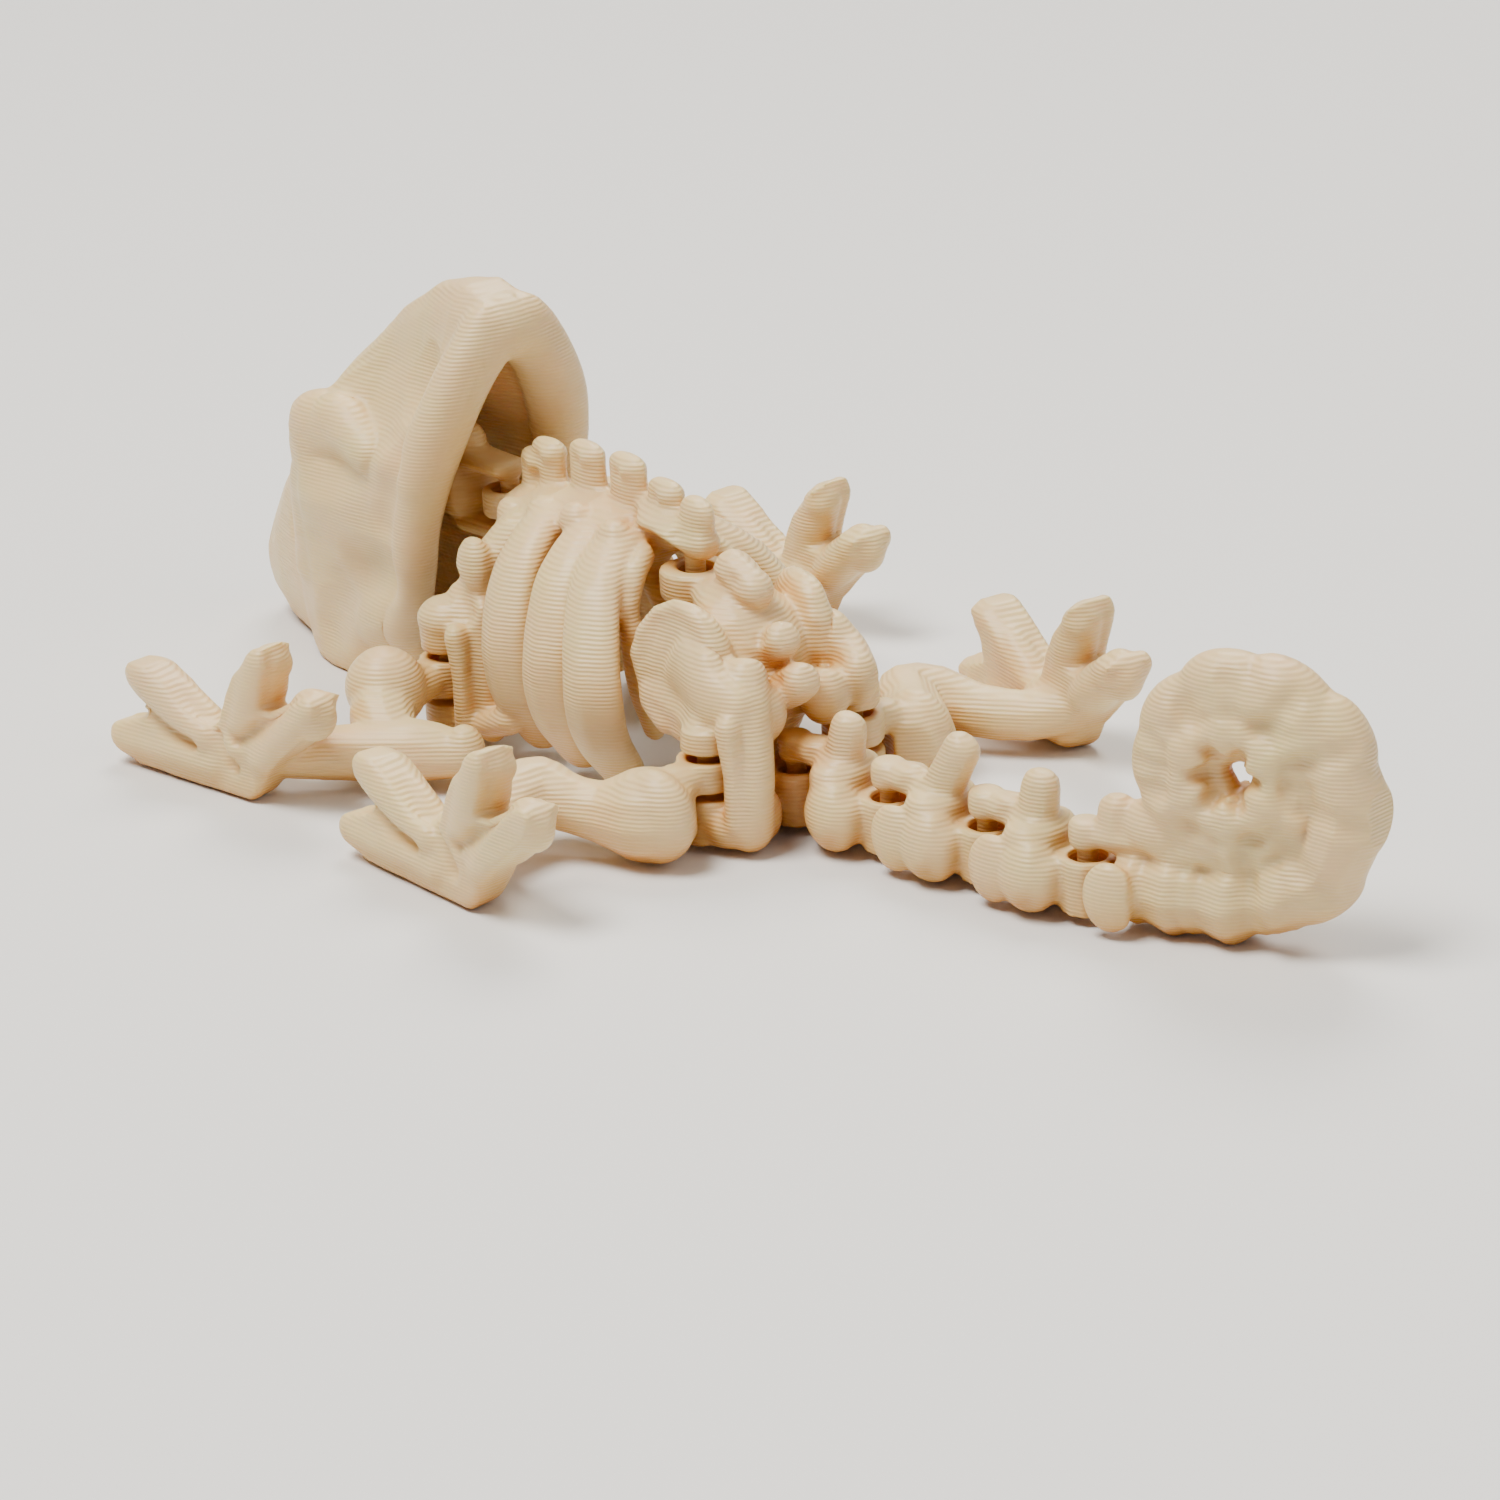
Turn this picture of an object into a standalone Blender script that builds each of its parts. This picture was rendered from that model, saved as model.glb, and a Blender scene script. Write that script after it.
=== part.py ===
"""A jointed chameleon skeleton toy, printed in one go in ivory plastic.

Eleven printed pieces lie belly down on a table: skull, rib cage, pelvis, four legs and four
tail pieces, the last of them ending in the coil. Each piece hangs on the next by an eye that
turns round an upright pin, so every joint swings sideways about a vertical axis.

Sizes and places are written in millimetres and scaled to metres when a mesh is made.
The head looks along -X, the tail runs along +X and the animal's left side is -Y.
"""
import math

import bmesh
import bpy
from mathutils import Matrix, Vector

MM = 0.001
MODEL = "chameleon_skeleton_toy"

# clearances and wall sizes of the print
PLAY = 0.5              # gap between an eye and its pin, and between an eye and its lugs
SPLIT = 0.3             # gap left by a cut that parts one printed piece into named nodes
FLOOR = 0.1             # lowest point of whatever rests on the table

# middle of the model's outline seen from above, on the table: the origin of the part
MIDDLE = Vector((-3.35, 2.15, 0.0))

# places of the pins, seen from above (x, y)
NECK_PIN = (-24.7, 3.0)
WAIST_PIN = (-4.3, 0.4)
TAIL_PINS = ((5.4, -1.0), (13.0, -0.6), (20.6, -0.1), (28.2, 0.3))

# yaw of each piece in the pose of the photo, in degrees about +Z
SKULL_YAW = -4.0
THORAX_YAW = -7.0
PELVIS_YAW = -9.0
TAIL_YAWS = (3.0, 4.0, 3.0, 19.0)

IVORY = (0.83, 0.70, 0.50, 1.0)


def place(x, y, yaw=0.0, z=0.0, pitch=0.0):
    """A frame in millimetres: its origin in the model, turned by yaw, then tipped by pitch."""
    return (Matrix.Translation((x, y, z))
            @ Matrix.Rotation(math.radians(yaw), 4, "Z")
            @ Matrix.Rotation(math.radians(pitch), 4, "Y"))


WORLD = Matrix.Identity(4)
SKULL = place(-33.5, 3.6, SKULL_YAW)
THORAX = place(-12.0, 1.44, THORAX_YAW)
PELVIS = place(WAIST_PIN[0], WAIST_PIN[1], PELVIS_YAW)
TAILS = [place(pin[0], pin[1], yaw) for pin, yaw in zip(TAIL_PINS, TAIL_YAWS)]


# Making meshes

ADD, CUT, INSERT = "add", "cut", "insert"


def clear_scene():
    for obj in list(bpy.data.objects):
        bpy.data.objects.remove(obj, do_unlink=True)


def new_collection(name):
    collection = bpy.data.collections.new(name)
    bpy.context.scene.collection.children.link(collection)
    return collection


def ivory_plastic():
    material = bpy.data.materials.new("ivory_plastic")
    material.use_nodes = True
    shader = material.node_tree.nodes["Principled BSDF"]
    shader.inputs["Base Color"].default_value = IVORY
    shader.inputs["Roughness"].default_value = 0.42
    shader.inputs["Metallic"].default_value = 0.0
    return material


def solid(bm, frame, collection):
    """One closed mesh object from a bmesh in the millimetres of a frame."""
    bmesh.ops.recalc_face_normals(bm, faces=bm.faces)
    if frame.determinant() < 0:
        bmesh.ops.reverse_faces(bm, faces=bm.faces)
    bm.transform(Matrix.Scale(MM, 4) @ Matrix.Translation(-MIDDLE) @ frame)
    mesh = bpy.data.meshes.new("solid")
    bm.to_mesh(mesh)
    bm.free()
    obj = bpy.data.objects.new("solid", mesh)
    collection.objects.link(obj)
    return obj


class Shop:
    """Makes the closed solids that one node is fused from, all in one frame."""

    def __init__(self, frame, collection):
        self.frame = frame
        self.collection = collection
        self.solids = []
        self.cutters = []
        self.inserts = []       # solids added after the cuts

    def keep(self, bm, use, frame=None):
        obj = solid(bm, self.frame if frame is None else frame, self.collection)
        {ADD: self.solids, CUT: self.cutters, INSERT: self.inserts}[use].append(obj)
        return obj

    def ball(self, centre, radii, turn=(0, 0, 0), segments=12, use=ADD, frame=None):
        bm = bmesh.new()
        rotation = (Matrix.Rotation(math.radians(turn[2]), 4, "Z")
                    @ Matrix.Rotation(math.radians(turn[1]), 4, "Y")
                    @ Matrix.Rotation(math.radians(turn[0]), 4, "X"))
        matrix = Matrix.Translation(centre) @ rotation @ Matrix.Diagonal((*radii, 1.0))
        bmesh.ops.create_uvsphere(bm, u_segments=segments, v_segments=segments // 2 + 1,
                                  radius=1.0, matrix=matrix)
        return self.keep(bm, use, frame)

    def rod(self, low, high, radius, end_radius=None, segments=18, use=ADD, frame=None):
        """A cylinder or cone between two points."""
        low, high = Vector(low), Vector(high)
        axis = high - low
        matrix = Matrix.Translation((low + high) / 2) @ axis.to_track_quat("Z", "Y").to_matrix().to_4x4()
        bm = bmesh.new()
        bmesh.ops.create_cone(bm, cap_ends=True, segments=segments, radius1=radius,
                              radius2=radius if end_radius is None else end_radius,
                              depth=axis.length, matrix=matrix)
        return self.keep(bm, use, frame)

    def box(self, low, high, use=ADD, frame=None):
        low, high = Vector(low), Vector(high)
        size = high - low
        bm = bmesh.new()
        bmesh.ops.create_cube(bm, size=1.0, matrix=Matrix.Translation((low + high) / 2)
                              @ Matrix.Diagonal((*size, 1.0)))
        return self.keep(bm, use, frame)

    def limb(self, points, radii, sides=8, steps=2, use=ADD, frame=None):
        """A bone: rings along a smooth curve through the points, closed by rounded ends.

        radii gives one radius for each point, or (across, upright) where it isn't round; across
        is level at the first point and is carried along the path from there.
        """
        path = smooth_path(points, steps)
        sizes = smooth_path([Vector((r, r, 0)) if isinstance(r, (int, float))
                             else Vector((r[0], r[1], 0)) for r in radii], steps)
        rings = []
        side = None
        for index, centre in enumerate(path):
            ahead = path[min(index + 1, len(path) - 1)] - path[max(index - 1, 0)]
            ahead.normalize()
            if side is None:
                side = ahead.cross(Vector((0, 0, 1)))
                if side.length < 0.5:
                    side = ahead.cross(Vector((0, 1, 0)))
            side = (side - ahead * side.dot(ahead)).normalized()
            top = side.cross(ahead)
            rings.append((centre, ahead, side, top, sizes[index][0], sizes[index][1]))
        capped = []
        for share, shrink in ((0.86, 0.5), (0.5, 0.87)):
            centre, ahead, side, top, across, upright = rings[0]
            reach = min(across, upright) * share
            capped.append((centre - ahead * reach, ahead, side, top, across * shrink, upright * shrink))
        capped.extend(rings)
        for share, shrink in ((0.5, 0.87), (0.86, 0.5)):
            centre, ahead, side, top, across, upright = rings[-1]
            reach = min(across, upright) * share
            capped.append((centre + ahead * reach, ahead, side, top, across * shrink, upright * shrink))
        outlines = []
        for centre, ahead, side, top, across, upright in capped:
            outline = []
            for step in range(sides):
                angle = 2 * math.pi * step / sides
                outline.append(centre + side * (across * math.cos(angle))
                               + top * (upright * math.sin(angle)))
            outlines.append(outline)
        return self.keep(loft(outlines), use, frame)

    def drum(self, centre, half, low, high, edge=0.7, sides=14, use=ADD, frame=None):
        """An upright oval drum with rounded edges; half gives its half length and half width."""
        outlines = []
        for z, inset in ((low, edge), (low + 0.3 * edge, 0.3 * edge), (low + edge, 0.0),
                         (high - edge, 0.0), (high - 0.3 * edge, 0.3 * edge), (high, edge)):
            outline = []
            for step in range(sides):
                angle = 2 * math.pi * step / sides
                outline.append((centre[0] + (half[0] - inset) * math.cos(angle),
                                centre[1] + (half[1] - inset) * math.sin(angle), z))
            outlines.append(outline)
        return self.keep(loft(outlines), use, frame)

    def slab(self, outline, layers, frame):
        """A closed outline in the frame's XZ plane, lofted through layers of (y, inset)."""
        outlines = []
        for y, inset in layers:
            outlines.append([(x, y, z) for x, z in shrunk(outline, inset)])
        return self.keep(loft(outlines), ADD, frame)


def shrunk(outline, inset):
    """A flat closed outline, drawn counterclockwise, moved inwards by inset."""
    count = len(outline)
    result = []
    for index in range(count):
        before = Vector(outline[index]) - Vector(outline[index - 1])
        after = Vector(outline[(index + 1) % count]) - Vector(outline[index])
        along = (before.normalized() + after.normalized()).normalized()
        result.append(Vector(outline[index]) + Vector((-along.y, along.x)) * inset)
    return result


def smooth_path(points, steps):
    """Points of a Catmull-Rom curve through the given points, steps to each stretch."""
    points = [Vector(p) for p in points]
    if steps <= 1 or len(points) < 3:
        return points
    padded = [points[0] * 2 - points[1]] + points + [points[-1] * 2 - points[-2]]
    path = []
    for index in range(1, len(padded) - 2):
        a, b, c, d = padded[index - 1:index + 3]
        for step in range(steps):
            t = step / steps
            path.append(0.5 * (2 * b + (c - a) * t + (2 * a - 5 * b + 4 * c - d) * t * t
                               + (3 * b - a - 3 * c + d) * t * t * t))
    path.append(points[-1])
    return path


def loft(outlines):
    """A closed bmesh through outlines of equally many points, with its two ends filled."""
    bm = bmesh.new()
    rows = [[bm.verts.new(point) for point in outline] for outline in outlines]
    count = len(rows[0])
    for near, far in zip(rows, rows[1:]):
        for step in range(count):
            following = (step + 1) % count
            bm.faces.new((near[step], near[following], far[following], far[step]))
    bm.faces.new(rows[0])
    bm.faces.new(rows[-1])
    return bm


def boolean(obj, others, operation):
    """The object's mesh joined with, or cut by, a collection of closed solids."""
    holder = new_collection("operands")
    for other in others:
        holder.objects.link(other)
    modifier = obj.modifiers.new("boolean", "BOOLEAN")
    modifier.operation = operation
    modifier.operand_type = "COLLECTION"
    modifier.collection = holder
    modifier.solver = "EXACT"
    bpy.context.view_layer.update()
    graph = bpy.context.evaluated_depsgraph_get()
    mesh = bpy.data.meshes.new_from_object(obj.evaluated_get(graph))
    obj.modifiers.clear()
    obj.data = mesh
    for other in others:
        bpy.data.objects.remove(other, do_unlink=True)
    bpy.data.collections.remove(holder)


def keep_largest(mesh):
    """Leaves only the largest closed surface, without slivers."""
    bm = bmesh.new()
    bm.from_mesh(mesh)
    bmesh.ops.triangulate(bm, faces=bm.faces)
    bmesh.ops.dissolve_degenerate(bm, edges=bm.edges, dist=0.01 * MM)
    bmesh.ops.triangulate(bm, faces=bm.faces)
    # a folded sliver leaves two faces on the same three corners
    corners = {}
    for face in bm.faces:
        corners.setdefault(frozenset(face.verts), []).append(face)
    folded = [face for faces in corners.values() if len(faces) == 2 for face in faces]
    bmesh.ops.delete(bm, geom=folded, context="FACES")
    left = set(bm.verts)
    shells = []
    while left:
        shell = [left.pop()]
        for vert in shell:
            for edge in vert.link_edges:
                other = edge.other_vert(vert)
                if other in left:
                    left.remove(other)
                    shell.append(other)
        shells.append(shell)
    shells.sort(key=len)
    for shell in shells[:-1]:
        bmesh.ops.delete(bm, geom=shell, context="VERTS")
    bm.to_mesh(mesh)
    bm.free()


def fuse(shop, name, material, collection, pin=(MIDDLE.x, MIDDLE.y)):
    """Joins a shop's solids, cuts them, and makes the node with its origin on its pin."""
    obj = shop.solids[0]
    if len(shop.solids) > 1:
        boolean(obj, shop.solids[1:], "UNION")
    if shop.cutters:
        boolean(obj, shop.cutters, "DIFFERENCE")
    if shop.inserts:
        boolean(obj, shop.inserts, "UNION")
    keep_largest(obj.data)
    obj.name = obj.data.name = name
    obj.data.materials.clear()
    obj.data.materials.append(material)
    obj.data.shade_smooth()
    obj.data.set_sharp_from_angle(angle=math.radians(40))
    collection.objects.link(obj)
    shop.collection.objects.unlink(obj)
    origin = (Vector((pin[0], pin[1], 0.0)) - MIDDLE) * MM
    obj.data.transform(Matrix.Translation(-origin))
    obj.location = origin
    return obj


# The joints: an eye of one piece turns round the pin of the other, between its two lugs

EYE_HOLE = 1.15         # radius of the hole in a neck, waist or tail eye
EYE_RIM = 1.9
WAIST_RIM = 2.3
LEG_HOLE = 1.25
LEG_RIM = 2.0


def eye(shop, centre, thickness, hole, rim):
    """A flat upright-holed eye: its disc, and the cutter for its hole."""
    x, y, z = centre
    half = thickness / 2
    shop.rod((x, y, z - half), (x, y, z + half), rim, segments=14)
    shop.rod((x, y, z - half - 1.5), (x, y, z + half + 1.5), hole, segments=14, use=CUT)


def lug(shop, centre, thickness, rim, use=ADD):
    x, y, z = centre
    half = thickness / 2
    shop.rod((x, y, z - half), (x, y, z + half), rim, segments=16, use=use)


def pin(shop, x, y, low, high, hole, use=INSERT):
    shop.rod((x, y, low), (x, y, high), hole - PLAY, segments=12, use=use)


def local(frame, x, y):
    """A point of the model, seen from above, in a frame's own millimetres."""
    point = frame.inverted() @ Vector((x, y, 0.0))
    return point.x, point.y


# Skull

SKULL_LEVELS = (0.0, 0.12, 0.30, 0.50, 0.68, 0.85, 0.95, 1.0)
SKULL_LEAN = 0.6        # how the stations lean back towards the crest
SKULL_WALL = 1.6
CREST_WALL = 3.0        # how much thicker the wall of the cavity gets, per share above mid height
# each station: x at the jaw, x at the crest, lowest z, crest z, half widths at the levels
SKULL_STATIONS = (
    (1.0, 10.1, 1.2, 27.5, (3.9, 5.4, 6.5, 6.9, 6.2, 4.6, 3.2, 1.6)),
    (-0.6, 7.4, 0.5, 28.4, (4.6, 5.7, 6.4, 6.7, 5.8, 4.0, 2.8, 1.4)),
    (-3.0, 3.6, 0.05, 27.4, (5.7, 6.1, 6.2, 6.3, 4.9, 2.4, 1.9, 1.0)),
    (-5.2, -0.4, 0.05, 25.1, (5.7, 6.05, 6.2, 6.5, 5.0, 2.4, 1.6, 0.9)),
    (-7.0, -5.0, 0.05, 21.4, (5.3, 5.7, 6.1, 6.6, 6.7, 5.2, 2.9, 1.2)),
    (-9.0, -8.3, 0.2, 18.5, (4.4, 4.9, 5.3, 5.6, 5.7, 4.7, 2.7, 1.2)),
    (-10.6, -10.2, 0.4, 15.6, (3.4, 3.9, 4.1, 4.0, 3.7, 2.9, 1.8, 0.8)),
    (-14.6, -14.4, 0.6, 12.4, (2.3, 2.9, 3.2, 3.1, 2.6, 1.8, 1.1, 0.5)),
    (-17.5, -17.3, 1.3, 8.8, (1.3, 1.8, 2.1, 2.1, 1.6, 1.0, 0.6, 0.3)),
    (-18.6, -18.5, 2.8, 6.2, (0.4, 0.7, 0.9, 0.9, 0.7, 0.4, 0.3, 0.2)),
)
NECK_EYE = (12.85, 14.65)       # lowest and highest z of the eye at the neck


def between(value, places, values):
    """The value of a broken line at a place."""
    for index in range(1, len(places)):
        if value <= places[index] or index == len(places) - 1:
            share = (value - places[index - 1]) / (places[index] - places[index - 1])
            share = min(max(share, 0.0), 1.0)
            return values[index - 1] + (values[index] - values[index - 1]) * share
    return values[-1]


def skull_outline(station, wall=0.0, drop=0.0, sink=0.0, back=0.0):
    """One closed outline round the skull, up the left side and down the right.

    A wall gives the outline of the cavity inside: thinner by the wall, its top lowered by drop
    and its open bottom lowered by sink.
    """
    x_low, x_top, z_low, z_top, widths = station
    left, right = [], []
    for level in SKULL_LEVELS:
        z = z_low - sink + (z_top - drop - z_low + sink) * level
        outer = min(max((z - z_low) / (z_top - z_low), 0.0), 1.0)
        x = x_low + (x_top - x_low) * outer ** SKULL_LEAN + back
        thicker = 1 + CREST_WALL * max(outer - 0.5, 0.0)
        width = max(between(outer, SKULL_LEVELS, widths) - wall * thicker, 0.35)
        left.append((x, -width, z))
        right.append((x, width, z))
    return smooth_path(left, 2) + smooth_path(right[::-1], 2)


def skull(shops, material, model):
    shop = Shop(SKULL, shops)
    shop.keep(loft([skull_outline(station) for station in SKULL_STATIONS]), ADD)
    hollow = [skull_outline(SKULL_STATIONS[0], SKULL_WALL - 0.5, 2.6, 4.0, 5.0)]
    hollow += [skull_outline(SKULL_STATIONS[0], SKULL_WALL - 0.5, 2.6, 4.0, 0.3)]
    hollow += [skull_outline(station, SKULL_WALL, 2.8, 4.0) for station in SKULL_STATIONS[1:5]]
    shop.keep(loft(hollow), CUT)
    for side in (-1, 1):
        shop.ball((3.4, side * 6.0, 23.2), (4.4, 3.4, 3.9), turn=(side * 18, 20, side * -6), use=CUT)
        shop.ball((-5.1, side * 4.4, 17.0), (2.7, 2.2, 2.2), turn=(0, 20, 0), segments=12)
        shop.ball((-11.6, side * 5.6, 9.4), (3.0, 2.6, 3.6), use=CUT)
    # the neck bone inside the cavity, with two lugs round the pin
    x, y = local(SKULL, *NECK_PIN)
    low, high = NECK_EYE
    shop.ball((4.3, 0, 14.2), (1.7, 2.5, 3.0), segments=12, use=INSERT)
    shop.ball((4.6, 0, 17.0), (1.3, 1.2, 1.3), segments=10, use=INSERT)
    for z in (high + 1.3, low - 1.3):
        shop.limb([(4.6, 0, z), (x, y, z)], [(1.6, 0.8), (1.5, 0.75)], use=INSERT)
    pin(shop, x, y, low - 1.3, high + 1.3, EYE_HOLE)
    shop.limb([(4.4, 0, 13.2), (-2.0, 0, 12.6), (-9.0, 0, 12.0)],
              [(1.2, 1.6), (1.1, 1.4), (1.3, 1.6)], sides=8, use=INSERT)
    return fuse(shop, "skull", material, model, NECK_PIN)


# Thorax: backbone in the middle, ribs and shoulder girdle on both sides

WAIST_EYE = (12.6, 14.5)        # lowest and highest z of the eye at the waist
SHOULDER_EYE = (3.6, 6.0)
SHOULDER_PIN = (-22.2, -5.2)    # of the left front leg, in the model
COLUMN = ((-10.2, 0, 14.2), (-6.0, 0, 15.0), (-1.0, 0, 15.6), (3.4, 0, 15.2))
CORE_HALF = 1.25                # half width of the backbone node at its cuts
CORE_SPAN = (-10.8, 7.2)        # the stretch of the backbone that is cut, between its two joints
# each rib: x at its root, x at its widest, half width of the cage there, z of its tip
RIBS = (
    (-4.0, -2.2, 7.9, 1.6),
    (0.2, 2.6, 8.0, 1.7),
    (3.2, 7.2, 8.0, 1.6),
)
# each blade of the backbone: x, z of its top, half its length
BLADES = ((-9.6, 18.2, 1.25), (-7.9, 19.2, 1.7), (-3.5, 20.0, 1.85), (0.9, 20.2, 1.85),
          (4.9, 19.5, 1.75))


def rib(shop, side, root, wide, half, tip):
    """One rib from the backbone round to its lower tip; it is wider along the body than thick."""
    points = [(root, side * 0.9, 15.4), (root + 0.1, side * 3.4, 15.0),
              ((root + wide) / 2, side * 6.2, 12.8), (wide, side * half, 8.8),
              (wide - 0.2, side * (half - 0.5), 5.0), (wide - 0.6, side * (half - 2.4), tip)]
    radii = [(1.1, 1.0), (1.4, 1.0), (1.6, 0.95), (1.75, 0.9), (1.75, 0.9), (1.5, 0.9)]
    shop.limb(points, radii, sides=8)


def girdle(shop, side):
    """The shoulder blade, its two lugs round the pin of the front leg and the bar to the first rib."""
    x, y = local(THORAX, *SHOULDER_PIN)
    y = side * abs(y)
    low, high = SHOULDER_EYE
    shop.limb([(-7.0, side * 0.9, 14.6), (-6.9, side * 3.8, 14.0), (-7.3, side * 6.0, 11.4),
               (x + 0.8, y, high + 1.6)], [(1.4, 1.2), (1.5, 1.2), (1.7, 1.1), (1.6, 1.3)], sides=8)
    shop.ball((-7.2, side * 6.7, 12.2), (1.5, 1.1, 2.1), segments=10)
    shop.ball((-8.6, side * 6.9, 8.9), (1.6, 1.2, 2.1), segments=10)
    lug(shop, (x, y, high + PLAY + 0.7), 1.4, LEG_RIM - 0.2)
    lug(shop, (x, y, low - PLAY - 0.8), 1.6, LEG_RIM - 0.2)
    shop.rod((x, y, low - PLAY), (x, y, high + PLAY), LEG_RIM + PLAY, use=CUT)
    pin(shop, x, y, low - PLAY - 0.8, high + PLAY + 0.7, LEG_HOLE)
    shop.limb([(x, y, low - PLAY - 0.9), (-6.0, y, 2.1), (-2.8, side * 7.6, 3.2)],
              [(1.1, 0.9), (1.1, 1.0), (1.1, 1.0)], sides=8)


def thorax_solids(shop, side):
    """Everything on one side of the rib cage, down to the middle of the backbone."""
    for root, wide, half, tip in RIBS:
        rib(shop, side, root, wide, half, tip)
    shop.limb([(4.5, side * 0.9, 15.3), (5.5, side * 3.0, 14.4), (6.2, side * 4.3, 12.4),
               (6.6, side * 4.3, 10.4)], [0.8, 0.8, 0.8, 0.7], sides=8)
    girdle(shop, side)
    shop.limb([(max(p[0], -9.4), side * 2.0, p[2] - 0.2) for p in COLUMN],
              [(1.1, 1.4)] * len(COLUMN), sides=8)


def backbone(shops, material, model):
    shop = Shop(THORAX, shops)
    neck_x, neck_y = local(THORAX, *NECK_PIN)
    waist_x, waist_y = local(THORAX, *WAIST_PIN)
    shop.limb(COLUMN, [(1.7, 1.5), (2.0, 1.7), (2.0, 1.7), (1.9, 1.6)], sides=12)
    for x, top, half in BLADES:
        shop.limb([(x, 0, 15.5), (x, 0, top - 0.7)], [(half, 0.8), (half - 0.05, 0.75)], sides=10)
    low, high = NECK_EYE
    eye(shop, (neck_x, neck_y, (low + high) / 2), high - low, EYE_HOLE, EYE_RIM)
    shop.limb([(neck_x + 1.7, neck_y, (low + high) / 2), (-9.6, 0, 14.0)], [(1.0, 0.9), (1.1, 1.1)])
    low, high = WAIST_EYE
    shop.limb([(3.2, 0, 16.6), (5.6, 0, 16.9), (waist_x + 1.0, waist_y, 16.2)],
              [(1.2, 1.5), (1.3, 1.2), (1.2, 1.1)])
    shop.limb([(2.6, 0, 14.2), (4.4, 0, low - PLAY - 1.0), (waist_x, waist_y, low - PLAY - 1.0)],
              [(1.2, 1.2), (1.2, 1.0), (1.3, 0.95)])
    pin(shop, waist_x, waist_y, low - PLAY - 1.0, high + PLAY + 0.8, EYE_HOLE, use=ADD)
    shop.limb([(waist_x + 0.3, waist_y, 16.3), (waist_x + 0.6, waist_y, 18.3)],
              [(1.5, 0.95), (1.5, 0.85)], sides=10)
    for side in (-1, 1):
        edge = side * CORE_HALF
        shop.box((CORE_SPAN[0], min(edge, side * 9), -1), (CORE_SPAN[1], max(edge, side * 9), 30),
                 use=CUT)
    return fuse(shop, "backbone", material, model)


def rib_side(shops, material, model, side, name):
    shop = Shop(THORAX, shops)
    thorax_solids(shop, side)
    edge = side * (CORE_HALF + SPLIT)
    shop.box((-30, min(edge, -side * 9), -1), (30, max(edge, -side * 9), 30), use=CUT)
    return fuse(shop, name, material, model)


# Pelvis

HIP_PIN = (3.2, -6.3)           # of the left hind leg, in the model
HIP_EYE = (3.95, 5.85)
TAIL_EYE = (0.6, 4.0)


def pelvis(shops, material, model):
    shop = Shop(PELVIS, shops)
    low, high = WAIST_EYE
    eye(shop, (0, 0, (low + high) / 2), high - low, EYE_HOLE, WAIST_RIM)
    shop.limb([(1.9, 0, 13.5), (4.4, 0, 12.8), (6.6, 0, 10.8), (7.2, 0, 8.2), (6.4, 0, 5.4)],
              [(1.7, 1.0), (3.0, 2.0), (3.6, 2.1), (3.4, 1.6), (2.8, 1.5)], sides=12)
    for foot, top, radius in (((4.2, 0, 15.4), (6.4, 0, 14.6), 1.3),
                              ((7.6, 0, 10.8), (9.0, 0, 12.0), 1.3),
                              ((8.6, 0, 8.6), (10.8, 0, 9.9), 1.3)):
        shop.limb([foot, top], [radius, radius], sides=8)
    x, y = local(PELVIS, *HIP_PIN)
    hip_low, hip_high = HIP_EYE
    for side in (-1, 1):
        y_pin = side * abs(y)
        # the dished blade in front of the hip, its arch over the leg, and the block under it
        shop.ball((4.9, side * 4.2, 10.4), (4.0, 1.4, 4.2), turn=(0, 14, side * -14))
        shop.limb([(5.4, side * 1.4, 11.4), (4.4, side * 4.4, 10.8)], [(2.6, 1.3), (2.6, 1.3)],
                  sides=8)
        shop.limb([(3.2, side * 4.8, 8.4), (5.6, side * 4.7, 7.8), (x, y_pin, hip_high + 1.7)],
                  [(1.4, 1.8), (1.5, 2.6), (1.7, 1.2)])
        lug(shop, (x, y_pin, hip_high + PLAY + 0.8), 1.6, LEG_RIM - 0.2)
        lug(shop, (x, y_pin, hip_low - PLAY - 1.5), 3.0, LEG_RIM)
        shop.rod((x, y_pin, hip_low - PLAY), (x, y_pin, hip_high + PLAY), LEG_RIM + PLAY, use=CUT)
        pin(shop, x, y_pin, hip_low - PLAY - 0.8, hip_high + PLAY + 0.7, LEG_HOLE)
        shop.limb([(7.0, side * 1.6, 8.0), (x, y_pin * 0.8, hip_high + 2.0)],
                  [(2.0, 1.9), (1.7, 1.3)], sides=8)
        shop.ball((x + 1.5, side * 4.4, 2.05), (1.7, 1.6, 1.95), segments=12)
    shop.limb([(x, -abs(y) + 0.2, 2.0), (x - 0.6, -2.6, 2.2), (6.6, 0, 2.3), (x - 0.6, 2.6, 2.2),
               (x, abs(y) - 0.2, 2.0)], [(1.8, 1.8), (1.7, 1.9), (1.6, 2.0), (1.7, 1.9), (1.8, 1.8)])
    shop.limb([(6.6, 0, 2.3), (6.2, 0, 6.4)], [(1.4, 2.4), (1.4, 2.6)])
    tail_x, tail_y = local(PELVIS, *TAIL_PINS[0])
    low, high = TAIL_EYE
    shop.limb([(6.8, 0, (low + high) / 2), (8.6, 0, (low + high) / 2)], [(1.7, 1.6), (1.6, 1.6)])
    eye(shop, (tail_x, tail_y, (low + high) / 2), high - low, EYE_HOLE, EYE_RIM - 0.1)
    return fuse(shop, "pelvis", material, model, WAIST_PIN)


# Legs

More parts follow.
